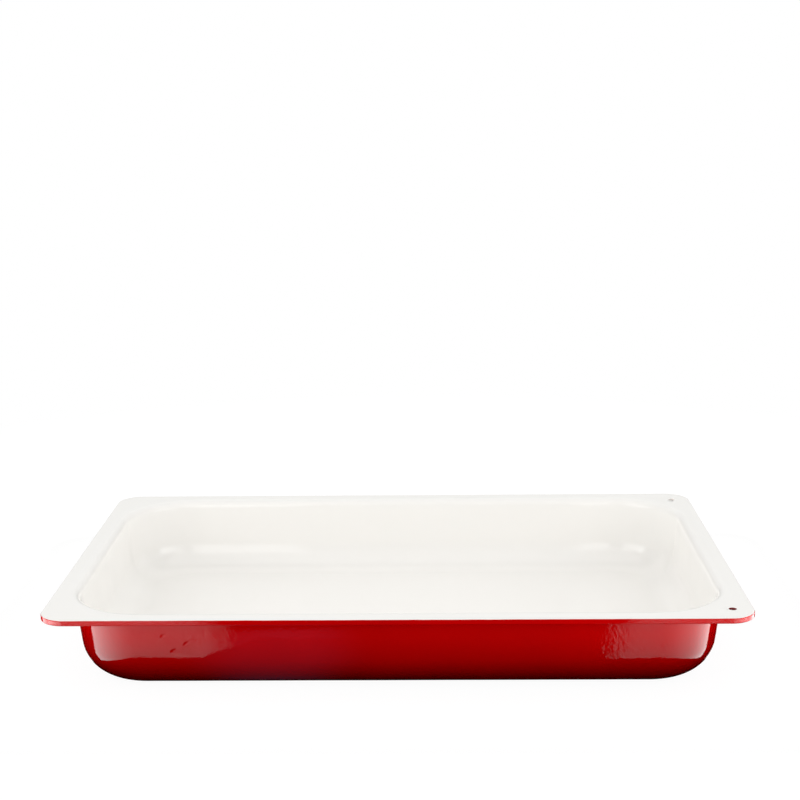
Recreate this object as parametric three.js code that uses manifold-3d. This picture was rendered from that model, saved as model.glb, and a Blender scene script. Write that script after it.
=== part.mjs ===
// A full-size gastronorm pan in enamelled cast iron: one grey-iron casting under fired coats of enamel.
// Units are millimetres, +Z is up. The origin is the middle of the base, on the surface that the pan
// stands on, and +X runs along the pan, towards the end with the two hanging holes.
//
// Every layer follows one section through the wall, at its own depth:
// rim edge, flat rim, bend into the wall, drafted wall, foot curve and flat base.

import * as THREE from "three";
import { mergeVertices } from "three/addons/utils/BufferGeometryUtils.js";
import Module from "manifold-3d";

// Sizes of the finished pan, over its enamel
const RIM_LENGTH = 530;
const RIM_WIDTH = 325;
const RIM_CORNER_RADIUS = 20;
const RIM_OVERHANG = 13.5; // from the rim's edge to the wall's outside, carried up to the rim's top
const PAN_HEIGHT = 65;
const WALL_DRAFT = THREE.MathUtils.degToRad(6.5);
const FOOT_RADIUS = 30; // outside, from the wall to the base
const BASE_CORNER_RADIUS = 26; // of the flat base, seen from above
const UNDER_RIM_RADIUS = 2.6; // outside, from the wall to the rim's underside

// The layers, from the metal outwards
const IRON_THICKNESS = 3.6;
const IRON_EDGE_RADIUS = 0.5; // at the edge of the rim, above and below
const GROUND_COAT = 0.12;
const COVER_COAT = 0.28;
const LAYER_CLEARANCE = 0.005; // left on the metal side of each coat, so that two layers never cross

// The hanging holes, at the rim's two corners on the +X end
const HOLE_DIAMETER = 6;
const HOLE_FROM_END = 16;
const HOLE_FROM_SIDE = 20;

// Steps along each curve
const CORNER_STEPS = 8;
const EDGE_STEPS = 2;
const BEND_STEPS = 4;
const FOOT_STEPS = 6;
const HOLE_STEPS = 24;

// Sizes that follow from those above
const COATS = GROUND_COAT + COVER_COAT;
const WALL = IRON_THICKNESS + 2 * COATS;
const EDGE_RADIUS = IRON_EDGE_RADIUS + COATS;
const RIM_UNDERSIDE = PAN_HEIGHT - WALL;
const COLOUR_LINE = PAN_HEIGHT - EDGE_RADIUS; // height on the rim's edge where white meets red
const HOLE_RADIUS = HOLE_DIAMETER / 2;
const HOLE_X = RIM_LENGTH / 2 - HOLE_FROM_END;
const HOLE_Y = RIM_WIDTH / 2 - HOLE_FROM_SIDE;

// Centres of the section's two arcs: inset from the wall's outside at the rim's top, and height
const DRAFT_SLOPE = Math.tan(WALL_DRAFT);
const BEND_HEIGHT = RIM_UNDERSIDE - UNDER_RIM_RADIUS;
const BEND_INSET = (PAN_HEIGHT - BEND_HEIGHT) * DRAFT_SLOPE - UNDER_RIM_RADIUS / Math.cos(WALL_DRAFT);
const FOOT_INSET = (PAN_HEIGHT - FOOT_RADIUS) * DRAFT_SLOPE + FOOT_RADIUS / Math.cos(WALL_DRAFT);

const wasm = await Module();
wasm.setup();

// A rounded rectangle at one height, as points running anticlockwise seen from above
function roundedRing(halfLength, halfWidth, cornerRadius, height) {
  const points = [];
  for (let quarter = 0; quarter < 4; quarter += 1) {
    const sideX = quarter === 0 || quarter === 3 ? 1 : -1;
    const sideY = quarter < 2 ? 1 : -1;
    for (let step = 0; step <= CORNER_STEPS; step += 1) {
      const angle = (quarter + step / CORNER_STEPS) * (Math.PI / 2);
      const x = sideX * (halfLength - cornerRadius) + cornerRadius * Math.cos(angle);
      const y = sideY * (halfWidth - cornerRadius) + cornerRadius * Math.sin(angle);
      points.push(new THREE.Vector3(x, y, height));
    }
  }
  return points;
}

// A ring parallel to the rim's edge
function rimRing(inset, height) {
  return roundedRing(RIM_LENGTH / 2 - inset, RIM_WIDTH / 2 - inset, RIM_CORNER_RADIUS - inset, height);
}

// A ring parallel to the walls
function wallRing(inset, height) {
  const fromEdge = RIM_OVERHANG + inset;
  const cornerRadius = BASE_CORNER_RADIUS + FOOT_INSET - inset;
  return roundedRing(RIM_LENGTH / 2 - fromEdge, RIM_WIDTH / 2 - fromEdge, cornerRadius, height);
}

// Rings of the bend, wall and foot at a depth below the finished outside, from the rim to the base
function basinRings(depth) {
  const rings = [];
  const bendRadius = UNDER_RIM_RADIUS + depth;
  for (let step = 0; step <= BEND_STEPS; step += 1) {
    const angle = THREE.MathUtils.lerp(Math.PI / 2, WALL_DRAFT, step / BEND_STEPS);
    const inset = BEND_INSET + bendRadius * Math.cos(angle);
    rings.push(wallRing(inset, BEND_HEIGHT + bendRadius * Math.sin(angle)));
  }
  const footRadius = FOOT_RADIUS - depth;
  for (let step = 0; step <= FOOT_STEPS; step += 1) {
    const angle = THREE.MathUtils.lerp(WALL_DRAFT, Math.PI / 2, step / FOOT_STEPS);
    const inset = FOOT_INSET - footRadius * Math.cos(angle);
    rings.push(wallRing(inset, FOOT_RADIUS - footRadius * Math.sin(angle)));
  }
  return rings;
}

// Rings of the rounded rim edge, from its upright part to the flat of the rim; side is 1 on top, -1 below
function edgeRings(depth, side) {
  const rings = [];
  const radius = EDGE_RADIUS - depth;
  const centreHeight = side > 0 ? PAN_HEIGHT - EDGE_RADIUS : RIM_UNDERSIDE + EDGE_RADIUS;
  for (let step = 0; step <= EDGE_STEPS; step += 1) {
    const angle = (step / EDGE_STEPS) * (Math.PI / 2);
    const inset = EDGE_RADIUS - radius * Math.cos(angle);
    rings.push(rimRing(inset, centreHeight + side * radius * Math.sin(angle)));
  }
  return rings;
}

// The whole outside at a depth below the red surface, from the colour line to the base
function outsideRings(depth) {
  return [rimRing(depth, COLOUR_LINE), ...edgeRings(depth, -1), ...basinRings(depth)];
}

// The whole inside at a depth below the white surface, from the colour line to the base
function insideRings(depth) {
  return [...edgeRings(depth, 1), ...basinRings(WALL - depth)];
}

// A closed skin through rings that start at the underside of a base and end on top of one
function loft(rings) {
  const count = rings[0].length;
  const last = rings.length - 1;
  const points = rings.flat();
  const bottomCentre = points.length;
  const topCentre = bottomCentre + 1;
  points.push(new THREE.Vector3(0, 0, rings[0][0].z));
  points.push(new THREE.Vector3(0, 0, rings[last][0].z));

  const triangles = [];
  for (let i = 0; i < count; i += 1) {
    const next = (i + 1) % count;
    triangles.push(bottomCentre, next, i);
    triangles.push(topCentre, last * count + i, last * count + next);
    for (let ring = 0; ring < last; ring += 1) {
      const low = ring * count;
      const high = low + count;
      triangles.push(low + i, low + next, high + next);
      triangles.push(low + i, high + next, high + i);
    }
  }
  const geometry = new THREE.BufferGeometry().setFromPoints(points);
  geometry.setIndex(triangles);
  return geometry;
}

// One layer between two surfaces, each given from the colour line to the base
function layer(lowerSurface, upperSurface) {
  return loft([...lowerSurface.toReversed(), ...upperSurface]);
}

// A closed geometry as a solid that can be joined and cut
function toSolid(geometry) {
  const bare = geometry.clone();
  bare.deleteAttribute("normal");
  bare.deleteAttribute("uv");
  const merged = mergeVertices(bare);
  const vertProperties = new Float32Array(merged.attributes.position.array);
  const triVerts = new Uint32Array(merged.index.array);
  return new wasm.Manifold(new wasm.Mesh({ numProp: 3, vertProperties, triVerts }));
}

// A solid as a geometry again
function toGeometry(solid) {
  const mesh = solid.getMesh();
  const geometry = new THREE.BufferGeometry();
  geometry.setAttribute("position", new THREE.BufferAttribute(mesh.vertProperties, 3));
  geometry.setIndex(new THREE.BufferAttribute(mesh.triVerts, 1));
  geometry.computeVertexNormals();
  return geometry;
}

// Upright round bars at the two hole centres, as solids
function holeBars(radius, bottom, top) {
  return [-HOLE_Y, HOLE_Y].map((y) => {
    const bar = new THREE.CylinderGeometry(radius, radius, top - bottom, HOLE_STEPS);
    bar.rotateX(Math.PI / 2);
    bar.translate(HOLE_X, y, (bottom + top) / 2);
    return toSolid(bar);
  });
}

// Drills both holes right through the rim
function drill(solid, radius) {
  const bars = holeBars(radius, RIM_UNDERSIDE - WALL, PAN_HEIGHT + WALL);
  return bars.reduce((rest, bar) => rest.subtract(bar), solid);
}

// Lines both holes: fills them to the lining's outside, then drills its inside
function lineHoles(solid, outerRadius, innerRadius, bottom, top) {
  const filled = holeBars(outerRadius, bottom, top).reduce((sum, bar) => sum.add(bar), solid);
  return drill(filled, innerRadius);
}

function castIronBody() {
  const lower = outsideRings(COATS);
  const upper = insideRings(COATS).slice(1); // both surfaces start on the same ring of the rim's edge
  return drill(toSolid(layer(lower, upper)), HOLE_RADIUS + COATS);
}

function innerGroundCoat() {
  const coat = toSolid(layer(insideRings(COATS - LAYER_CLEARANCE), insideRings(COVER_COAT)));
  return drill(coat, HOLE_RADIUS + COVER_COAT);
}

function outerGroundCoat() {
  const metalSide = COATS - LAYER_CLEARANCE;
  const coat = toSolid(layer(outsideRings(COVER_COAT), outsideRings(metalSide)));
  const bottom = RIM_UNDERSIDE + COVER_COAT + GROUND_COAT / 2;
  return lineHoles(coat, HOLE_RADIUS + metalSide, HOLE_RADIUS + COVER_COAT, bottom, PAN_HEIGHT - COATS);
}

function whiteEnamelLining() {
  const coat = toSolid(layer(insideRings(COVER_COAT - LAYER_CLEARANCE), insideRings(0)));
  return drill(coat, HOLE_RADIUS);
}

function redEnamelShell() {
  const metalSide = COVER_COAT - LAYER_CLEARANCE;
  const coat = toSolid(layer(outsideRings(0), outsideRings(metalSide)));
  const bottom = RIM_UNDERSIDE + COVER_COAT / 2;
  return lineHoles(coat, HOLE_RADIUS + metalSide, HOLE_RADIUS, bottom, PAN_HEIGHT - COVER_COAT);
}

const castIron = new THREE.MeshStandardMaterial({ color: 0x35363a, roughness: 0.75, metalness: 0.6 });
const groundEnamel = new THREE.MeshStandardMaterial({ color: 0x241f22, roughness: 0.3, metalness: 0 });
const whiteEnamel = new THREE.MeshStandardMaterial({ color: 0xf4f1ea, roughness: 0.12, metalness: 0 });
const redEnamel = new THREE.MeshStandardMaterial({ color: 0xa00a0e, roughness: 0.1, metalness: 0 });

function piece(name, solid, material) {
  const mesh = new THREE.Mesh(toGeometry(solid), material);
  mesh.name = name;
  return mesh;
}

const pan = new THREE.Group();
pan.add(piece("cast_iron_body", castIronBody(), castIron));
pan.add(piece("inner_ground_coat", innerGroundCoat(), groundEnamel));
pan.add(piece("outer_ground_coat", outerGroundCoat(), groundEnamel));
pan.add(piece("white_enamel_lining", whiteEnamelLining(), whiteEnamel));
pan.add(piece("red_enamel_shell", redEnamelShell(), redEnamel));

export default pan;
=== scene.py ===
# The looks of a full-size gastronorm pan in enamelled cast iron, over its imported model.
# Each layer of the pan is made again as a fine mesh from the section that the casting has,
# the enamel gets its waviness, gloss and colour, and a small dark studio lights it.

import math

import bmesh
import bpy
import numpy as np
from mathutils import Matrix, Quaternion, Vector, noise


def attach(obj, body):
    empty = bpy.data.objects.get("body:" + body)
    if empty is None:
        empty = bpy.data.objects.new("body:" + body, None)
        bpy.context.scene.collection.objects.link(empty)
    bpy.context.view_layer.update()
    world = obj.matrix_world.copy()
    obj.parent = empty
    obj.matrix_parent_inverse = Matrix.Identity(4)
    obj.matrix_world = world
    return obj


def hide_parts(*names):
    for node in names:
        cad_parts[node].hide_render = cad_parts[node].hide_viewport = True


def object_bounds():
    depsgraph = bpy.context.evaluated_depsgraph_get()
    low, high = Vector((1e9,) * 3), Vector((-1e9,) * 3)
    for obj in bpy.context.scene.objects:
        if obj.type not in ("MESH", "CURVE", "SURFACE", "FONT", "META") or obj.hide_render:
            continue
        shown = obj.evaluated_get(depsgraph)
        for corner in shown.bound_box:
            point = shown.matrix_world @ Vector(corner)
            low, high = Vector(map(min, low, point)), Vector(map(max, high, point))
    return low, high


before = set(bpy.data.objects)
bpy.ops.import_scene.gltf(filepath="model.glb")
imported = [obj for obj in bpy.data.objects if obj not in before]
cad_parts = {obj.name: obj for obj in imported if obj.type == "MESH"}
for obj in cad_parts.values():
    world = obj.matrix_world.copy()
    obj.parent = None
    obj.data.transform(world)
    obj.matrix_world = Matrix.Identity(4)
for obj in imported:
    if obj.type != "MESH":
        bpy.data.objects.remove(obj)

CAD_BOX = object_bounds()
MM = 0.001

# The finished pan's section, as in the model
HALF_LENGTH = CAD_BOX[1].x
HALF_WIDTH = CAD_BOX[1].y
PAN_HEIGHT = CAD_BOX[1].z
RIM_CORNER_RADIUS = 20 * MM
RIM_OVERHANG = 13.5 * MM
WALL_DRAFT = math.radians(6.5)
FOOT_RADIUS = 30 * MM
BASE_CORNER_RADIUS = 26 * MM
UNDER_RIM_RADIUS = 2.6 * MM

# The layers, from the metal outwards
IRON_THICKNESS = 3.6 * MM
IRON_EDGE_RADIUS = 0.5 * MM
GROUND_COAT = 0.12 * MM
COVER_COAT = 0.28 * MM
LAYER_CLEARANCE = 0.005 * MM

# The hanging holes in the rim's two corners at the +X end
HOLE_RADIUS = 3 * MM
HOLE_X = HALF_LENGTH - 16 * MM
HOLE_Y = HALF_WIDTH - 20 * MM

# Sizes that follow from those above
COATS = GROUND_COAT + COVER_COAT
WALL = IRON_THICKNESS + 2 * COATS
EDGE_RADIUS = IRON_EDGE_RADIUS + COATS
RIM_UNDERSIDE = PAN_HEIGHT - WALL
DRAFT_SLOPE = math.tan(WALL_DRAFT)
BEND_HEIGHT = RIM_UNDERSIDE - UNDER_RIM_RADIUS
BEND_INSET = (PAN_HEIGHT - BEND_HEIGHT) * DRAFT_SLOPE - UNDER_RIM_RADIUS / math.cos(WALL_DRAFT)
FOOT_INSET = (PAN_HEIGHT - FOOT_RADIUS) * DRAFT_SLOPE + FOOT_RADIUS / math.cos(WALL_DRAFT)

# Steps of the fine meshes
CORNER_STEPS = 24
LONG_SIDE_STEPS = 72
SHORT_SIDE_STEPS = 44
EDGE_STEPS = 5
EDGE_BAND_STEPS = 3
RIM_STEPS = 4
BEND_STEPS = 9
WALL_STEPS = 8
FOOT_STEPS = 18
BASE_STEPS = 16
HOLE_STEPS = 48
LIP_STEPS = 5
SPINE_WIDTH = 0.01  # share of the base's width that the last ring keeps
SHARP_ANGLE = math.radians(35)

# Waviness of the fired enamel, as height and length of its waves
WAVE_HEIGHT = 0.12 * MM
WAVE_LENGTH = 48 * MM
RIPPLE_HEIGHT = 0.05 * MM
RIPPLE_LENGTH = 17 * MM
WAVE_FADE = 6 * MM  # from the rim's edge and from the standing surface

# The line where white meets red, as an angle up the rounding of the rim's upper edge
LINE_ANGLE = math.radians(50)
LINE_WANDER = math.radians(9)
LINE_WANDER_LENGTH = 8 * MM


def rounded_ring(half_length, half_width, corner_radius, height):
    """Points of a rounded rectangle, anticlockwise from above, as many for every size."""
    corners = []
    for quarter, (side_x, side_y) in enumerate(((1, 1), (-1, 1), (-1, -1), (1, -1))):
        angles = (quarter + np.linspace(0, 1, CORNER_STEPS + 1)) * math.pi / 2
        x = side_x * (half_length - corner_radius) + corner_radius * np.cos(angles)
        y = side_y * (half_width - corner_radius) + corner_radius * np.sin(angles)
        corners.append(np.stack([x, y], axis=1))
    outline = []
    for quarter, corner in enumerate(corners):
        following = corners[(quarter + 1) % 4]
        steps = LONG_SIDE_STEPS if quarter % 2 == 0 else SHORT_SIDE_STEPS
        along = np.linspace(0, 1, steps + 1)[1:-1, None]
        outline += [corner, corner[-1] + (following[0] - corner[-1]) * along]
    outline = np.concatenate(outline)
    return np.column_stack([outline, np.full(len(outline), height)])


def rim_ring(inset, height):
    """A ring parallel to the rim's edge."""
    return rounded_ring(HALF_LENGTH - inset, HALF_WIDTH - inset, RIM_CORNER_RADIUS - inset, height)


def wall_ring(inset, height):
    """A ring parallel to the walls."""
    from_edge = RIM_OVERHANG + inset
    corner_radius = BASE_CORNER_RADIUS + FOOT_INSET - inset
    return rounded_ring(HALF_LENGTH - from_edge, HALF_WIDTH - from_edge, corner_radius, height)


def spine_ring(ring):
    """The slim ring in the middle of a base, towards which its outline shrinks."""
    spine_end = ring[:, 0].max() - ring[:, 1].max()
    slim = ring.copy()
    slim[:, 0] = np.clip(ring[:, 0], -spine_end, spine_end)
    slim[:, 1] *= SPINE_WIDTH
    return slim


def between(first, last, steps):
    """The rings after the first one, in even steps up to the last one."""
    return [first + (last - first) * step / steps for step in range(1, steps + 1)]


def basin_rings(depth):
    """Bend, wall, foot and base at a depth below the finished outside."""
    bend = []
    bend_radius = UNDER_RIM_RADIUS + depth
    for angle in np.linspace(math.pi / 2, WALL_DRAFT, BEND_STEPS + 1):
        inset = BEND_INSET + bend_radius * math.cos(angle)
        bend.append(wall_ring(inset, BEND_HEIGHT + bend_radius * math.sin(angle)))
    foot = []
    foot_radius = FOOT_RADIUS - depth
    for angle in np.linspace(WALL_DRAFT, math.pi / 2, FOOT_STEPS + 1):
        inset = FOOT_INSET - foot_radius * math.cos(angle)
        foot.append(wall_ring(inset, FOOT_RADIUS - foot_radius * math.sin(angle)))
    base = between(foot[-1], spine_ring(foot[-1]), BASE_STEPS)
    return bend + between(bend[-1], foot[0], WALL_STEPS) + foot[1:] + base


def edge_ring(depth, angle, side):
    """A ring on the rim's rounded edge, by its angle from the upright part; side is 1 on top, -1 below."""
    radius = EDGE_RADIUS - depth
    middle = PAN_HEIGHT - EDGE_RADIUS if side > 0 else RIM_UNDERSIDE + EDGE_RADIUS
    return rim_ring(EDGE_RADIUS - radius * math.cos(angle), middle + side * radius * math.sin(angle))


def edge_rings(depth, first, last, side):
    """Rings on the rim's rounded edge between two angles."""
    return [edge_ring(depth, angle, side) for angle in np.linspace(first, last, EDGE_STEPS + 1)]


def line_ring(depth):
    """The colour line, which wanders up and down as hand-wiped enamel does."""
    lower = edge_ring(depth, LINE_ANGLE - LINE_WANDER, 1)
    upper = edge_ring(depth, LINE_ANGLE + LINE_WANDER, 1)
    spots = rim_ring(0, PAN_HEIGHT)
    share = np.array([noise.noise(Vector(spot) / LINE_WANDER_LENGTH) for spot in spots])
    return lower + (upper - lower) * (0.5 + 0.5 * share[:, None])


def outside_rings(depth):
    """The outside at a depth below the red surface, from the colour line to the base."""
    top = edge_rings(depth, LINE_ANGLE - 2 * LINE_WANDER, 0, 1)
    bottom = edge_rings(depth, 0, math.pi / 2, -1)
    basin = basin_rings(depth)
    band = between(top[-1], bottom[0], EDGE_BAND_STEPS)
    rim = between(bottom[-1], basin[0], RIM_STEPS)
    return [line_ring(depth)] + top + band + bottom[1:] + rim + basin[1:]


def inside_rings(depth):
    """The inside at a depth below the white surface, from the colour line to the base."""
    top = edge_rings(depth, LINE_ANGLE + 2 * LINE_WANDER, math.pi / 2, 1)
    basin = basin_rings(WALL - depth)
    return [line_ring(depth)] + top + between(top[-1], basin[0], RIM_STEPS) + basin[1:]


def loft(name, rings):
    """A closed mesh through rings, with a face over the first one and the last one."""
    count = len(rings[0])
    starts = np.arange(len(rings) - 1)[:, None] * count
    here = np.arange(count)[None, :]
    onward = (here + 1) % count
    ends = starts + count
    quads = np.stack([starts + here, starts + onward, ends + onward, ends + here], axis=2)
    faces = quads.reshape(-1, 4).tolist()
    faces.append(list(range(count))[::-1])
    faces.append(list(range(count * (len(rings) - 1), count * len(rings))))
    mesh = bpy.data.meshes.new(name)
    mesh.from_pydata(np.concatenate(rings).tolist(), [], faces)
    piece = bpy.data.objects.new(name, mesh)
    bpy.context.scene.collection.objects.link(piece)
    return piece


def layer(name, lower, upper):
    """One layer between two surfaces, each given from the colour line to the base."""
    return loft(name, lower[::-1] + upper)


def rim_inset(point):
    """How far a point lies inside the rim's outline, seen from above."""
    reach_x = abs(point.x) - HALF_LENGTH + RIM_CORNER_RADIUS
    reach_y = abs(point.y) - HALF_WIDTH + RIM_CORNER_RADIUS
    outside = math.hypot(max(reach_x, 0), max(reach_y, 0))
    return RIM_CORNER_RADIUS - outside - min(max(reach_x, reach_y), 0)


def ease(value):
    """A smooth step from 0 to 1."""
    value = min(max(value, 0), 1)
    return value * value * (3 - 2 * value)


def roughen(piece, first, count):
    """Gives the finished surface, as a run of the piece's points, the waves of fired enamel."""
    vertices = piece.data.vertices
    normals = [Vector(normal.vector) for normal in piece.data.vertex_normals]
    for index in range(first, first + count):
        point = vertices[index].co
        wave = WAVE_HEIGHT * noise.noise(point / WAVE_LENGTH)
        wave += RIPPLE_HEIGHT * noise.noise(point / RIPPLE_LENGTH)
        fade = ease(rim_inset(point) / WAVE_FADE) * ease(point.z / WAVE_FADE)
        vertices[index].co = point + normals[index] * wave * fade


def lathe(name, profile):
    """A round bar at each hole, turned from a profile of radius and height and closed at both ends."""
    shape = bmesh.new()
    for y in (-HOLE_Y, HOLE_Y):
        rings = []
        for radius, height in profile:
            ring = []
            for step in range(HOLE_STEPS):
                angle = step / HOLE_STEPS * 2 * math.pi
                spot = (HOLE_X + radius * math.cos(angle), y + radius * math.sin(angle), height)
                ring.append(shape.verts.new(spot))
            rings.append(ring)
        for low, high in zip(rings, rings[1:]):
            for step in range(HOLE_STEPS):
                onward = (step + 1) % HOLE_STEPS
                shape.faces.new((low[step], low[onward], high[onward], high[step]))
        shape.faces.new(rings[0][::-1])
        shape.faces.new(rings[-1])
    mesh = bpy.data.meshes.new(name)
    shape.to_mesh(mesh)
    shape.free()
    bars = bpy.data.objects.new(name, mesh)
    bpy.context.scene.collection.objects.link(bars)
    return bars


def straight_bars(name, radius, bottom, top):
    """Plain round bars at the two holes."""
    return lathe(name, [(radius, bottom), (radius, top)])


def lipped_bars(name):
    """Bars that drill the finished holes, with the enamel's rounded lip at both ends."""
    lip = [(HOLE_RADIUS + COVER_COAT, RIM_UNDERSIDE - WALL)]
    for angle in np.linspace(0, math.pi / 2, LIP_STEPS + 1):
        radius = HOLE_RADIUS + COVER_COAT * (1 - math.sin(angle))
        lip.append((radius, RIM_UNDERSIDE + COVER_COAT * (1 - math.cos(angle))))
    middle = RIM_UNDERSIDE + PAN_HEIGHT
    return lathe(name, lip + [(radius, middle - height) for radius, height in reversed(lip)])


def combine(piece, bars, operation):
    """Joins bars to a piece or cuts them out of it, and removes the bars."""
    modifier = piece.modifiers.new("bars", "BOOLEAN")
    modifier.operation = operation
    modifier.solver = "MANIFOLD"
    modifier.object = bars
    bpy.context.view_layer.update()
    whole = piece.evaluated_get(bpy.context.evaluated_depsgraph_get())
    mesh = bpy.data.meshes.new_from_object(whole)
    piece.modifiers.clear()
    old = piece.data
    piece.data = mesh
    bpy.data.meshes.remove(old)
    mesh.name = piece.name
    bpy.data.objects.remove(bars)


def smooth(piece):
    """Shades the piece smooth, with sharp edges where its faces meet at an angle."""
    shape = bmesh.new()
    shape.from_mesh(piece.data)
    for face in shape.faces:
        face.smooth = True
    for edge in shape.edges:
        edge.smooth = edge.calc_face_angle(0) < SHARP_ANGLE
    shape.to_mesh(piece.data)
    shape.free()


def dress(piece, node, material):
    """Lets the piece stand for its node, in its finish."""
    smooth(piece)
    piece.data.materials.clear()
    piece.data.materials.append(material)
    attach(piece, "root")
    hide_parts(node)


def make_iron(material):
    """The casting, drilled wide enough for the coats in its holes."""
    outside = outside_rings(COATS)
    inside = inside_rings(COATS)[1:]
    piece = layer("iron_casting", outside, inside)
    bars = straight_bars("iron_drill", HOLE_RADIUS + COATS, RIM_UNDERSIDE - WALL, PAN_HEIGHT + WALL)
    combine(piece, bars, "DIFFERENCE")
    dress(piece, "cast_iron_body", material)


def make_inner_ground(material):
    """The first coat of the inside and of the rim's top."""
    piece = layer("ground_coat_inside", inside_rings(COATS - LAYER_CLEARANCE), inside_rings(COVER_COAT))
    bars = straight_bars("inner_drill", HOLE_RADIUS + COVER_COAT, RIM_UNDERSIDE - WALL, PAN_HEIGHT + WALL)
    combine(piece, bars, "DIFFERENCE")
    dress(piece, "inner_ground_coat", material)


def make_outer_ground(material):
    """The first coat of the outside, which also lines the holes."""
    metal_side = COATS - LAYER_CLEARANCE
    piece = layer("ground_coat_outside", outside_rings(COVER_COAT), outside_rings(metal_side))
    bottom = RIM_UNDERSIDE + COVER_COAT + GROUND_COAT / 2
    fill = straight_bars("ground_fill", HOLE_RADIUS + metal_side, bottom, PAN_HEIGHT - COATS)
    combine(piece, fill, "UNION")
    bars = straight_bars("outer_drill", HOLE_RADIUS + COVER_COAT, RIM_UNDERSIDE - WALL, PAN_HEIGHT + WALL)
    combine(piece, bars, "DIFFERENCE")
    dress(piece, "outer_ground_coat", material)


def make_white(material):
    """The cover coat of the basin and of the rim's top."""
    lower = inside_rings(COVER_COAT - LAYER_CLEARANCE)
    upper = inside_rings(0)
    piece = layer("white_enamel", lower, upper)
    count = len(upper) * len(upper[0])
    roughen(piece, count, count)
    combine(piece, lipped_bars("white_drill"), "DIFFERENCE")
    dress(piece, "white_enamel_lining", material)
    return piece


def make_red(material):
    """The cover coat of the outside, which also lines the holes."""
    metal_side = COVER_COAT - LAYER_CLEARANCE
    lower = outside_rings(0)
    piece = layer("red_enamel", lower, outside_rings(metal_side))
    roughen(piece, 0, len(lower) * len(lower[0]))
    bottom = RIM_UNDERSIDE + COVER_COAT / 2
    fill = straight_bars("red_fill", HOLE_RADIUS + metal_side, bottom, PAN_HEIGHT - COVER_COAT)
    combine(piece, fill, "UNION")
    combine(piece, lipped_bars("red_drill"), "DIFFERENCE")
    dress(piece, "red_enamel_shell", material)
    return piece


# Materials

RED_DEEP = (0.330, 0.0004, 0.0007, 1)
RED_BRIGHT = (0.355, 0.0004, 0.0006, 1)
CLOUD_LENGTH = 60 * MM
CLOUD_RANGE = (0.35, 0.65)  # of the noise, where deep red turns into bright red
# Painted shade in the front hole's bore, dark maroon, and painted light in the back hole's bore, pale grey
FRONT_BORE_SHADE = (0.24, 0.045, 0.045, 1)
BACK_BORE_LIGHT = (0.80, 0.78, 0.74, 1)
BORE_EDGE = (0.25 * MM, 0.60 * MM)  # outside the hole, where the bore's colour ends
WHITE_BASIN = (0.882, 0.866, 0.834, 1)
# The rim's white is darker than the basin's: partly a cooler tone, partly painted shade that keeps the
# brightly lit top from going pure white
WHITE_RIM = (0.840, 0.831, 0.805, 1)
WHITE_GLOSS = (0.5, 0.03)  # specular level in the basin and on the rim
RIM_BLEND = (3 * MM, 0.3 * MM)  # below the pan's top, where the basin's white turns into the rim's
ENAMEL_IOR = 1.52
ENAMEL_ROUGHNESS = (0.015, 0.03)
SHEEN_LENGTH = 30 * MM  # of the patches in which the roughness changes
SHEEN_RANGE = (0.3, 0.7)  # of the noise that makes them
PEEL_LENGTH = 5 * MM
GRAIN_LENGTH = 2.2 * MM
RED_PEEL = (0.040, 0.036)  # heights of the orange peel and of its grain, mm
WHITE_PEEL = (0.018, 0.008)

# The layers under the cover coats
GROUND_DARK = (0.012, 0.011, 0.013, 1)
GROUND_PALE = (0.035, 0.030, 0.032, 1)
GROUND_SPECK_LENGTH = 3 * MM
GROUND_ROUGHNESS = 0.35
IRON_DARK = (0.10, 0.10, 0.11, 1)
IRON_PALE = (0.22, 0.21, 0.21, 1)
IRON_GRAIN_LENGTH = 0.8 * MM
IRON_GRAIN_DEPTH = 0.2 * MM
IRON_GRAIN_STRENGTH = 0.8
IRON_GRAIN_RANGE = (0.3, 0.7)
IRON_ROUGHNESS = (0.5, 0.8)
IRON_METALLIC = 0.8

# Three slanting pits in the front wall: their middles, half sizes, slant and depth in mm
PITS = (
    (-174 * MM, -147 * MM, 47 * MM),
    (-157 * MM, -146 * MM, 40.5 * MM),
    (-167 * MM, -145.5 * MM, 34.5 * MM),
)
PIT_SIZE = (3.6 * MM, 1.5 * MM, 1.9 * MM)
PIT_SLANT = math.radians(-37)
PIT_DEPTH = 0.30


def put(tree, kind, inputs=None, **settings):
    """A node with its settings, and with inputs that are values or other nodes' outputs."""
    node = tree.nodes.new(kind)
    for name, value in settings.items():
        setattr(node, name, value)
    for key, value in (inputs or {}).items():
        if isinstance(value, bpy.types.NodeSocket):
            tree.links.new(value, node.inputs[key])
        else:
            node.inputs[key].default_value = value
    return node


def math_node(tree, operation, first, second):
    """The result of a sum on two values or outputs."""
    return put(tree, "ShaderNodeMath", {0: first, 1: second}, operation=operation).outputs[0]


def noise_node(tree, place, length, detail=1.0):
    """Noise whose grains are about that long."""
    inputs = {"Vector": place, "Scale": 1 / length, "Detail": detail}
    return put(tree, "ShaderNodeTexNoise", inputs).outputs["Fac"]


def remap(tree, value, from_low, from_high, to_low, to_high, course="LINEAR"):
    """A value stretched from one range to another."""
    inputs = {"Value": value, "From Min": from_low, "From Max": from_high}
    inputs.update({"To Min": to_low, "To Max": to_high})
    return put(tree, "ShaderNodeMapRange", inputs, interpolation_type=course).outputs["Result"]


def distance(tree, place, point):
    """How far a place is from a point."""
    inputs = {0: place, 1: point}
    return put(tree, "ShaderNodeVectorMath", inputs, operation="DISTANCE").outputs["Value"]


def mix_colours(tree, share, first, second):
    """A colour between two others."""
    return put(tree, "ShaderNodeMix", {0: share, 6: first, 7: second}, data_type="RGBA").outputs[2]


def new_material(name):
    """A material with its node tree, shader and place on the object."""
    material = bpy.data.materials.new(name)
    material.use_nodes = True
    tree = material.node_tree
    place = put(tree, "ShaderNodeTexCoord").outputs["Object"]
    return material, tree, tree.nodes["Principled BSDF"], place


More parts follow.
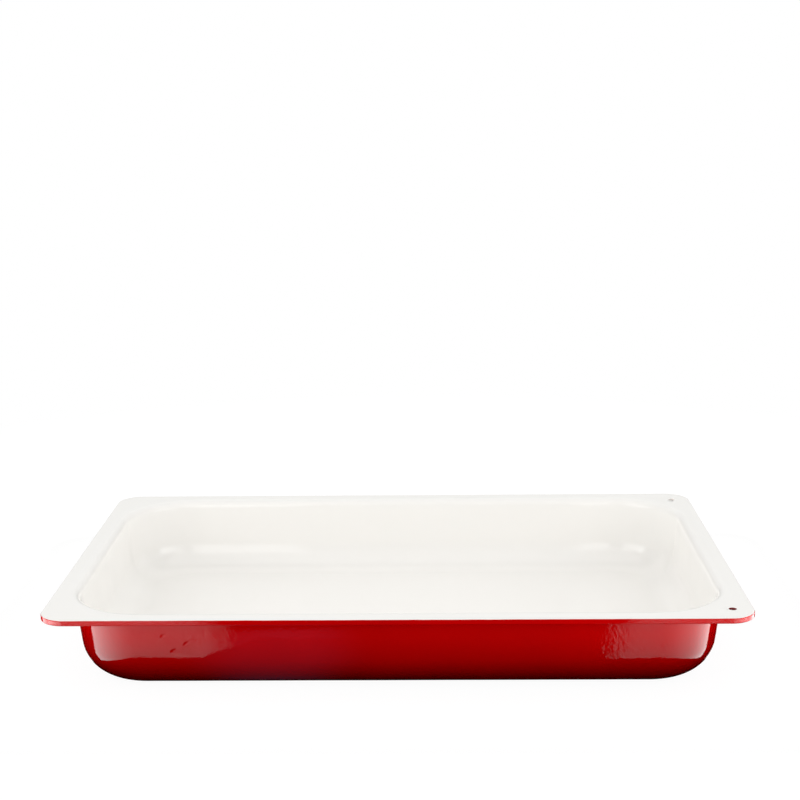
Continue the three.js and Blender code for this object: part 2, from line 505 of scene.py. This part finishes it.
def bare_material(name):
    """A material without a shader, with its node tree and place on the object."""
    material, tree, shader, place = new_material(name)
    tree.nodes.remove(shader)
    return material, tree, place


def surface(tree, shader):
    """Makes a shader node the material's surface."""
    tree.links.new(shader.outputs[0], tree.nodes["Material Output"].inputs["Surface"])


def grey(level):
    """A grey of that level."""
    return (level, level, level, 1)


def pits(tree, place):
    """Depth of the pits, from 0 on the plain surface to 1 in their middles."""
    deepest = None
    for middle in PITS:
        inputs = {"Vector": place, "Location": middle, "Rotation": (0, PIT_SLANT, 0), "Scale": PIT_SIZE}
        local = put(tree, "ShaderNodeMapping", inputs, vector_type="TEXTURE").outputs["Vector"]
        away = put(tree, "ShaderNodeVectorMath", {0: local}, operation="LENGTH").outputs["Value"]
        depth = remap(tree, away, 0.0, 1.0, 1.0, 0.0, "SMOOTHSTEP")
        deepest = depth if deepest is None else math_node(tree, "MAXIMUM", deepest, depth)
    return deepest


def enamel_gloss(tree, shader, place, heights, depth=None):
    """The gloss of fired enamel: a glassy surface with orange peel, and with pits of a given depth."""
    peel = math_node(tree, "MULTIPLY", noise_node(tree, place, PEEL_LENGTH), heights[0])
    grain = math_node(tree, "MULTIPLY", noise_node(tree, place, GRAIN_LENGTH), heights[1])
    height = math_node(tree, "ADD", peel, grain)
    if depth is not None:
        height = math_node(tree, "SUBTRACT", height, math_node(tree, "MULTIPLY", depth, PIT_DEPTH))
    bump = put(tree, "ShaderNodeBump", {"Strength": 1.0, "Distance": MM, "Height": height})
    tree.links.new(bump.outputs["Normal"], shader.inputs["Normal"])
    rough = remap(tree, noise_node(tree, place, SHEEN_LENGTH, 3.0), *SHEEN_RANGE, *ENAMEL_ROUGHNESS)
    tree.links.new(rough, shader.inputs["Roughness"])
    shader.inputs["IOR"].default_value = ENAMEL_IOR


def in_bore(tree, place, y):
    """1 in the bore of the hole at that y, 0 away from it."""
    flat = put(tree, "ShaderNodeVectorMath", {0: place, 1: (1, 1, 0)}, operation="MULTIPLY").outputs[0]
    away = distance(tree, flat, (HOLE_X, y, 0))
    return remap(tree, away, HOLE_RADIUS + BORE_EDGE[0], HOLE_RADIUS + BORE_EDGE[1], 1.0, 0.0)


def red_enamel():
    """Cherry red, slightly cloudy, with painted shade in the front hole's bore and painted light in the
    back hole's bore.
    """
    material, tree, shader, place = new_material("red_enamel")
    share = remap(tree, noise_node(tree, place, CLOUD_LENGTH, 3.0), *CLOUD_RANGE, 0.0, 1.0)
    colour = mix_colours(tree, share, RED_DEEP, RED_BRIGHT)
    # Painted shade in the front bore and painted light in the back bore
    colour = mix_colours(tree, in_bore(tree, place, -HOLE_Y), colour, FRONT_BORE_SHADE)
    colour = mix_colours(tree, in_bore(tree, place, HOLE_Y), colour, BACK_BORE_LIGHT)
    tree.links.new(colour, shader.inputs["Base Color"])
    enamel_gloss(tree, shader, place, RED_PEEL, pits(tree, place))
    return material


def white_enamel():
    """Warm white, less glossy on the rim than in the basin, and darker on the rim: partly a cooler tone,
    partly painted shade on the brightly lit top.
    """
    material, tree, shader, place = new_material("white_enamel")
    height = put(tree, "ShaderNodeSeparateXYZ", {0: place}).outputs["Z"]
    share = remap(tree, height, PAN_HEIGHT - RIM_BLEND[0], PAN_HEIGHT - RIM_BLEND[1], 0.0, 1.0)
    tree.links.new(mix_colours(tree, share, WHITE_BASIN, WHITE_RIM), shader.inputs["Base Color"])
    tree.links.new(remap(tree, share, 0.0, 1.0, *WHITE_GLOSS), shader.inputs["Specular IOR Level"])
    enamel_gloss(tree, shader, place, WHITE_PEEL)
    return material


def ground_enamel():
    """The dark, speckled first coat."""
    material, tree, shader, place = new_material("ground_enamel")
    share = noise_node(tree, place, GROUND_SPECK_LENGTH, 4.0)
    colour = mix_colours(tree, share, GROUND_DARK, GROUND_PALE)
    tree.links.new(colour, shader.inputs["Base Color"])
    shader.inputs["Roughness"].default_value = GROUND_ROUGHNESS
    shader.inputs["IOR"].default_value = ENAMEL_IOR
    return material


def cast_iron():
    """Grey iron with the grain of its mould."""
    material, tree, shader, place = new_material("grey_cast_iron")
    grains = noise_node(tree, place, IRON_GRAIN_LENGTH, 4.0)
    tree.links.new(mix_colours(tree, grains, IRON_DARK, IRON_PALE), shader.inputs["Base Color"])
    inputs = {"Strength": IRON_GRAIN_STRENGTH, "Distance": IRON_GRAIN_DEPTH, "Height": grains}
    bump = put(tree, "ShaderNodeBump", inputs)
    tree.links.new(bump.outputs["Normal"], shader.inputs["Normal"])
    rough = remap(tree, grains, *IRON_GRAIN_RANGE, *IRON_ROUGHNESS)
    tree.links.new(rough, shader.inputs["Roughness"])
    shader.inputs["Metallic"].default_value = IRON_METALLIC
    return material


# Studio, with its level sheets in order below the pan

CARD_DROP = 0.1 * MM
MAT_DROP = 0.2 * MM
TABLE_DROP = 0.3 * MM
FLOOR_DROP = 0.6 * MM
STUDIO_RADIUS = 6.0
STUDIO_SUBDIVISIONS = 3
TABLE_HALF_SIZE = 1.5
TABLE_SHINE = 0.63
FLOOR_HALF_SIZE = 8.0
FLOOR_GLOW = 0.95
FLOOR_SHADE = 0.10
DIFFUSE_FLOOR = 0.12
FLOOR_FADE = (0.45, 0.9)  # from the pan's middle, where the floor turns plain white

# A black mat under the pan, seen only in reflections: painted shade that stands in for the pan's own dark
# image and shadow in the mirror
MAT_HALF_LENGTH = 245 * MM
MAT_HALF_WIDTH = 185 * MM
MAT_CORNER_RADIUS = 45 * MM

# How far the mat's front edge is moved along +Y, by place along X, in mm: it ends the outside's highlights
MAT_FRONT = (
    (-245, 0),
    (-151, 0),
    (-147, -8),
    (-134, -12),
    (-127, -17),
    (-115, -28),
    (110, -20),
    (160, 4),
    (245, 5),
)

# A violet card on the mat, which tints the foot's gloss: its middle, how far it reaches from there
# to the sides, the front and the back, and how far its full glow reaches
CARD_MIDDLE = (-95 * MM, -184 * MM, 0)
CARD_REACH = 80 * MM
CARD_FRONT_REACH = 40 * MM
CARD_BACK_REACH = 56 * MM
CARD_CORE = 24 * MM
CARD_COLOUR = (0.8, 0.5, 1.0, 1)
CARD_LIGHT = 0.12

# The light tent, from the horizon up: its levels, and the elevations in degrees where they change
TENT_LEVELS = (0.85, 2.05, 0.97)
TENT_TURNS = (12, 26)
TENT_BLEND = math.radians(2)

# The low fill lamps for the outside, and the low flag between them and the pan's foot
FILL_HEIGHTS = (0.03, 0.105)
FILL_LIGHT = 33.5
RIGHT_FILL_LIGHT = 39.0
FLAG_GAP = 85 * MM
FLAG_CORNER_RADIUS = 40 * MM
FLAG_HEIGHT = 42 * MM
FLAG_CORNER_HEIGHT = 39.5 * MM
FLAG_END_HEIGHT = 75 * MM
FLAG_END_SPAN = (150 * MM, 200 * MM)  # from the middle of a short side, where its height ends

# The softer lamps for the two ends
END_FILL_HEIGHTS = (0.35, 0.60)
END_FILL_LIGHT = 9.0

# Each lamp's name, its two ends in plan, its heights and its light
FILL_LAMPS = (
    ("left_front_fill", (-0.48, -0.57), (-0.73, -0.25), FILL_HEIGHTS, FILL_LIGHT),
    ("right_front_fill", (0.48, -0.57), (0.73, -0.22), FILL_HEIGHTS, RIGHT_FILL_LIGHT),
    ("left_back_fill", (-0.48, 0.57), (-0.73, 0.25), FILL_HEIGHTS, FILL_LIGHT),
    ("right_back_fill", (0.48, 0.57), (0.73, 0.22), FILL_HEIGHTS, FILL_LIGHT),
    ("left_end_fill", (-1.00, -0.30), (-1.00, 0.30), END_FILL_HEIGHTS, END_FILL_LIGHT),
    ("right_end_fill", (1.00, -0.30), (1.00, 0.30), END_FILL_HEIGHTS, END_FILL_LIGHT),
)

# The upright panels that the outside mirrors: name, inner and outer end in plan, heights,
# and light at either end
TALL = (0.06, 0.75)
NEAR = (0.002, 0.085)
FAR = (0.06, 0.20)
OUTSIDE_PANELS = (
    ("left_end", (-0.222, -0.75), (-0.25, -0.75), TALL, (0.0, 1.4)),
    ("left_front", (-0.25, -0.75), (-0.58, -0.66), TALL, (1.4, 1.9)),
    ("left_near_middle", (-0.277, -0.250), (-0.346, -0.169), NEAR, (1.8, 4.6)),
    ("left_near_side", (-0.346, -0.169), (-0.358, -0.100), NEAR, (4.6, 5.6)),
    ("left_far", (-0.58, -0.66), (-0.85, -0.29), FAR, (1.9, 5.8)),
    ("right_end", (0.25, -0.75), (0.265, -0.75), TALL, (0.0, 1.4)),
    ("right_front", (0.265, -0.75), (0.58, -0.66), TALL, (1.4, 1.4)),
    ("right_near_middle", (0.277, -0.250), (0.347, -0.159), NEAR, (1.4, 3.4)),
    ("right_near_side", (0.347, -0.159), (0.350, -0.067), NEAR, (3.4, 6.6)),
    ("right_far", (0.58, -0.66), (0.86, -0.24), FAR, (1.4, 3.4)),
    ("left_back", (-0.24, 0.75), (-0.62, 0.75), TALL, (1.6, 2.4)),
    ("right_back", (0.26, 0.75), (0.62, 0.75), TALL, (1.6, 2.4)),
)

# The upright panels that the basin mirrors, given in the same way, and a level one over them
WALL_HEIGHTS = (0.30, 1.60)
BASIN_PANELS = (
    ("basin_front", (-1.20, -2.20), (1.20, -2.20), WALL_HEIGHTS, (0.6, 0.6)),
    ("basin_back", (-1.20, 2.20), (1.20, 2.20), WALL_HEIGHTS, (0.3, 0.3)),
    ("basin_left", (-2.20, -1.20), (-2.20, 1.20), WALL_HEIGHTS, (0.5, 0.5)),
    ("basin_right", (2.20, -1.20), (2.20, 1.20), WALL_HEIGHTS, (0.5, 0.5)),
    ("basin_left_front", (-0.19, -0.75), (-0.58, -0.66), (0.10, 0.80), (1.2, 2.5)),
    ("basin_left_middle", (-0.58, -0.66), (-0.85, -0.29), (0.10, 0.75), (2.6, 2.6)),
    ("basin_left_back", (-0.85, 0.18), (-0.85, 0.75), (0.10, 0.50), (0.3, 0.3)),
    ("basin_right_front", (0.255, -0.75), (0.58, -0.66), (0.10, 0.70), (1.4, 2.3)),
    ("basin_right_middle", (0.58, -0.66), (0.85, -0.22), (0.10, 0.58), (2.5, 2.5)),
    ("basin_right_back", (0.85, 0.18), (0.85, 0.75), (0.10, 0.50), (0.3, 0.3)),
)
CEILING_MIDDLE = (0, -1.0, 1.6)
CEILING_SIZE = (2.4, 2.4)
CEILING_LIGHTS = (0.8, 0.8)


def stage_piece(name, points, faces, material):
    """A piece of the set."""
    mesh = bpy.data.meshes.new(name)
    mesh.from_pydata(points, [], faces)
    mesh.materials.append(material)
    thing = bpy.data.objects.new(name, mesh)
    bpy.context.scene.collection.objects.link(thing)
    return thing


def sheet(name, outline, material):
    """A flat sheet of the set."""
    return stage_piece(name, outline, [tuple(range(len(outline)))], material)


def rectangle(left, right, front, back, height):
    """The corners of a level rectangle."""
    corners = ((left, front), (right, front), (right, back), (left, back))
    return [(x, y, height) for x, y in corners]


def centred_rectangle(half_length, half_width, height):
    """The corners of a level rectangle round the middle."""
    return rectangle(-half_length, half_length, -half_width, half_width, height)


def mat_outline():
    """A rounded rectangle with its front edge moved."""
    outline = rounded_ring(MAT_HALF_LENGTH, MAT_HALF_WIDTH, MAT_CORNER_RADIUS, -MAT_DROP)
    places, shifts = np.array(MAT_FRONT).T * MM
    front = outline[:, 1] < 0
    outline[front, 1] += np.interp(outline[front, 0], places, shifts)
    return outline.tolist()


def card_outline():
    """The corners of the violet card, which ends before it meets the pan's base."""
    x, y = CARD_MIDDLE[:2]
    return rectangle(x - CARD_REACH, x + CARD_REACH, y - CARD_FRONT_REACH, y + CARD_BACK_REACH, -CARD_DROP)


def only_in_reflections(thing):
    """Shows a part of the set in glossy reflections alone."""
    thing.visible_camera = False
    thing.visible_diffuse = False
    thing.visible_transmission = False
    thing.visible_volume_scatter = False
    thing.visible_shadow = False


def seen_directly(tree):
    """1 for camera, glossy and transmission rays, which see the white background, and 0 for the rest."""
    path = put(tree, "ShaderNodeLightPath").outputs
    either = math_node(tree, "MAXIMUM", path["Is Camera Ray"], path["Is Glossy Ray"])
    return math_node(tree, "MAXIMUM", either, path["Is Transmission Ray"])


def floor_material():
    """A floor seen as white with the pan's shadow, which throws little light back at the pan."""
    material, tree, place = bare_material("pale_floor")
    plain = put(tree, "ShaderNodeBsdfDiffuse", {"Color": grey(DIFFUSE_FLOOR)})
    shaded = put(tree, "ShaderNodeBsdfDiffuse", {"Color": grey(FLOOR_SHADE)})
    glow = put(tree, "ShaderNodeEmission", {"Color": grey(1), "Strength": FLOOR_GLOW})
    white = put(tree, "ShaderNodeEmission", {"Color": grey(1), "Strength": 1.0})
    pale = put(tree, "ShaderNodeAddShader", {0: shaded.outputs[0], 1: glow.outputs[0]})
    away = put(tree, "ShaderNodeVectorMath", {0: place}, operation="LENGTH").outputs["Value"]
    far = remap(tree, away, *FLOOR_FADE, 0.0, 1.0)
    seen = put(tree, "ShaderNodeMixShader", {0: far, 1: pale.outputs[0], 2: white.outputs[0]})
    shares = {0: seen_directly(tree), 1: plain.outputs[0], 2: seen.outputs[0]}
    surface(tree, put(tree, "ShaderNodeMixShader", shares))
    return material


def table_material():
    """A dim mirror."""
    material, tree, _ = bare_material("polished_table")
    surface(tree, put(tree, "ShaderNodeBsdfGlossy", {"Color": grey(TABLE_SHINE), "Roughness": 0.0}))
    return material


def dark_material():
    """Black without gloss."""
    material, _, shader, _ = new_material("dark_studio")
    shader.inputs["Base Color"].default_value = grey(0)
    shader.inputs["Specular IOR Level"].default_value = 0.0
    return material


def clear_glow(tree, colour, strength):
    """Light from a sheet that is clear itself and so hides nothing."""
    glow = put(tree, "ShaderNodeEmission", {"Color": colour, "Strength": strength})
    clear = put(tree, "ShaderNodeBsdfTransparent")
    surface(tree, put(tree, "ShaderNodeAddShader", {0: glow.outputs[0], 1: clear.outputs[0]}))


def violet_material():
    """A dim violet glow that fades out from the card's middle."""
    material, tree, place = bare_material("violet_card")
    material.cycles.emission_sampling = "NONE"
    away = distance(tree, place, CARD_MIDDLE)
    strength = remap(tree, away, CARD_CORE, CARD_REACH, CARD_LIGHT, 0.0, "SMOOTHSTEP")
    clear_glow(tree, CARD_COLOUR, strength)
    return material


def dark_walls(material):
    """The unlit studio, which shows only in reflections."""
    shape = bmesh.new()
    bmesh.ops.create_icosphere(shape, subdivisions=STUDIO_SUBDIVISIONS, radius=STUDIO_RADIUS)
    mesh = bpy.data.meshes.new("dark_studio")
    shape.to_mesh(mesh)
    shape.free()
    mesh.materials.append(material)
    walls = bpy.data.objects.new("dark_studio", mesh)
    bpy.context.scene.collection.objects.link(walls)
    only_in_reflections(walls)


def group(name, *things):
    """The things that some lamps or panels light."""
    collection = bpy.data.collections.new(name)
    for thing in things:
        collection.objects.link(thing)
    return collection


def panel_material(name, width, lights):
    """Light that changes along a panel's width."""
    material, tree, place = bare_material(name)
    material.cycles.emission_sampling = "NONE"
    strength = lights[0]
    if lights[1] != lights[0]:
        along = put(tree, "ShaderNodeSeparateXYZ", {0: place}).outputs["X"]
        strength = remap(tree, along, -width / 2, width / 2, *lights)
    clear_glow(tree, grey(1), strength)
    return material


def gloss_panel(name, place, size, lights, lit):
    """A panel that shows in the gloss of some things alone, with its light at either end of its width."""
    corners = centred_rectangle(size[0] / 2, size[1] / 2, 0)
    panel = sheet(name, corners, panel_material(name, size[0], lights))
    panel.matrix_world = place
    only_in_reflections(panel)
    panel.light_linking.receiver_collection = lit


def facing_pan(inner, outer, heights):
    """Place and size of an upright panel between two points in plan, and if it was turned to the pan."""
    inner = Vector((*inner, 0))
    outer = Vector((*outer, 0))
    up = Vector((0, 0, 1))
    low, high = heights
    middle = (inner + outer) / 2 + up * (low + high) / 2
    across = (outer - inner).normalized()
    turned = across.cross(up).dot(middle) < 0
    if turned:
        across = -across
    place = Matrix.Translation(middle) @ Matrix((across, up, across.cross(up))).transposed().to_4x4()
    return place, ((outer - inner).length, high - low), turned


def softbox(name, inner, outer, heights, lights, lit):
    """An upright gloss panel, with its light at the inner and the outer end."""
    place, size, turned = facing_pan(inner, outer, heights)
    gloss_panel(name, place, size, lights[::-1] if turned else lights, lit)


def fill_lamp(name, inner, outer, heights, light, lit):
    """An upright lamp that lights some things and doesn't show in their gloss."""
    place, size, _ = facing_pan(inner, outer, heights)
    data = bpy.data.lights.new(name, "AREA")
    data.shape = "RECTANGLE"
    data.size, data.size_y = size
    data.energy = math.pi * data.size * data.size_y * light
    lamp = bpy.data.objects.new(name, data)
    lamp.matrix_world = place
    bpy.context.scene.collection.objects.link(lamp)
    lamp.visible_camera = False
    lamp.visible_glossy = False
    lamp.light_linking.receiver_collection = lit


def low_flag(material):
    """A low screen round the pan that keeps the fill lamps off its foot and is itself unseen."""
    size = (HALF_LENGTH + FLAG_GAP, HALF_WIDTH + FLAG_GAP, FLAG_CORNER_RADIUS)
    bottom = rounded_ring(*size, 0)
    top = bottom.copy()
    bend = size[0] - FLAG_CORNER_RADIUS
    top[:, 2] = np.interp(abs(top[:, 0]), (bend, size[0]), (FLAG_HEIGHT, FLAG_CORNER_HEIGHT))
    ends = np.isclose(abs(top[:, 0]), size[0])
    top[ends, 2] = np.interp(abs(top[ends, 1]), FLAG_END_SPAN, (FLAG_END_HEIGHT, FLAG_CORNER_HEIGHT))
    count = len(bottom)
    faces = []
    for here in range(count):
        onward = (here + 1) % count
        faces.append((here, onward, count + onward, count + here))
    flag = stage_piece("low_flag", np.concatenate([bottom, top]).tolist(), faces, material)
    flag.visible_camera = False
    flag.visible_glossy = False
    flag.visible_transmission = False


def tent_light(tree, height):
    """The tent's light in a direction, by the height of its unit vector."""
    level = TENT_LEVELS[0]
    for turn, below, above in zip(TENT_TURNS, TENT_LEVELS, TENT_LEVELS[1:]):
        low = math.sin(math.radians(turn) - TENT_BLEND)
        high = math.sin(math.radians(turn) + TENT_BLEND)
        level = math_node(tree, "ADD", level, remap(tree, height, low, high, 0.0, above - below))
    return level


def make_world():
    """A light tent for the object's own colours, and a white background."""
    world = bpy.data.worlds.new("studio")
    bpy.context.scene.world = world
    world.use_nodes = True
    tree = world.node_tree
    direction = put(tree, "ShaderNodeTexCoord").outputs["Generated"]
    height = put(tree, "ShaderNodeSeparateXYZ", {0: direction}).outputs["Z"]
    tent = put(tree, "ShaderNodeBackground", {"Color": grey(1), "Strength": tent_light(tree, height)})
    white = put(tree, "ShaderNodeBackground", {"Color": grey(1), "Strength": 1.0})
    shares = {0: seen_directly(tree), 1: tent.outputs[0], 2: white.outputs[0]}
    mixed = put(tree, "ShaderNodeMixShader", shares)
    tree.links.new(mixed.outputs[0], tree.nodes["World Output"].inputs["Surface"])


def make_studio(white, red):
    """The set: floor, mirror, mat, card, dark walls, flag, lamps, panels and world."""
    dark = dark_material()
    sheet("floor", centred_rectangle(FLOOR_HALF_SIZE, FLOOR_HALF_SIZE, -FLOOR_DROP), floor_material())
    table_corners = centred_rectangle(TABLE_HALF_SIZE, TABLE_HALF_SIZE, -TABLE_DROP)
    table = sheet("polished_table", table_corners, table_material())
    only_in_reflections(table)
    # A black sheet seen only in reflections: painted shade in the mirror round the pan's foot
    only_in_reflections(sheet("painted_shade_mat", mat_outline(), dark))
    only_in_reflections(sheet("violet_card", card_outline(), violet_material()))
    dark_walls(dark)
    low_flag(dark)
    outside = group("outside", red)
    for lamp in FILL_LAMPS:
        fill_lamp(*lamp, outside)
    outside_gloss = group("outside_gloss", red, table)
    for panel in OUTSIDE_PANELS:
        softbox(*panel, outside_gloss)
    inside_gloss = group("inside_gloss", white)
    for panel in BASIN_PANELS:
        softbox(*panel, inside_gloss)
    ceiling_place = Matrix.Translation(CEILING_MIDDLE)
    gloss_panel("basin_ceiling", ceiling_place, CEILING_SIZE, CEILING_LIGHTS, inside_gloss)
    make_world()
    bpy.context.scene.view_settings.view_transform = "Standard"


# Camera, fitted to the rim in the photo

IMAGE_SIZE = 800
FOCAL_LENGTH_PIXELS = 1494.55
CAMERA_YAW = math.radians(1.1762)
CAMERA_ELEVATION = math.radians(12.6103)
CAMERA_ROLL = math.radians(-0.6527)
CAMERA_DISTANCE = 1.80755
CAMERA_AIM = Vector((-0.010056, 0.571891, PAN_HEIGHT))


def make_camera():
    """The camera, turned round its aim."""
    data = bpy.data.cameras.new("camera")
    data.lens = data.sensor_width * FOCAL_LENGTH_PIXELS / IMAGE_SIZE
    camera = bpy.data.objects.new("camera", data)
    level = math.cos(CAMERA_ELEVATION)
    back = Vector((math.sin(CAMERA_YAW) * level, -math.cos(CAMERA_YAW) * level, math.sin(CAMERA_ELEVATION)))
    turn = (-back).to_track_quat("-Z", "Y") @ Quaternion((0, 0, 1), CAMERA_ROLL)
    camera.rotation_mode = "QUATERNION"
    camera.rotation_quaternion = turn
    camera.location = CAMERA_AIM + back * CAMERA_DISTANCE
    bpy.context.scene.collection.objects.link(camera)
    bpy.context.scene.camera = camera


make_iron(cast_iron())
ground = ground_enamel()
make_inner_ground(ground)
make_outer_ground(ground)
white_piece = make_white(white_enamel())
red_piece = make_red(red_enamel())
make_studio(white_piece, red_piece)
make_camera()
bpy.context.view_layer.update()
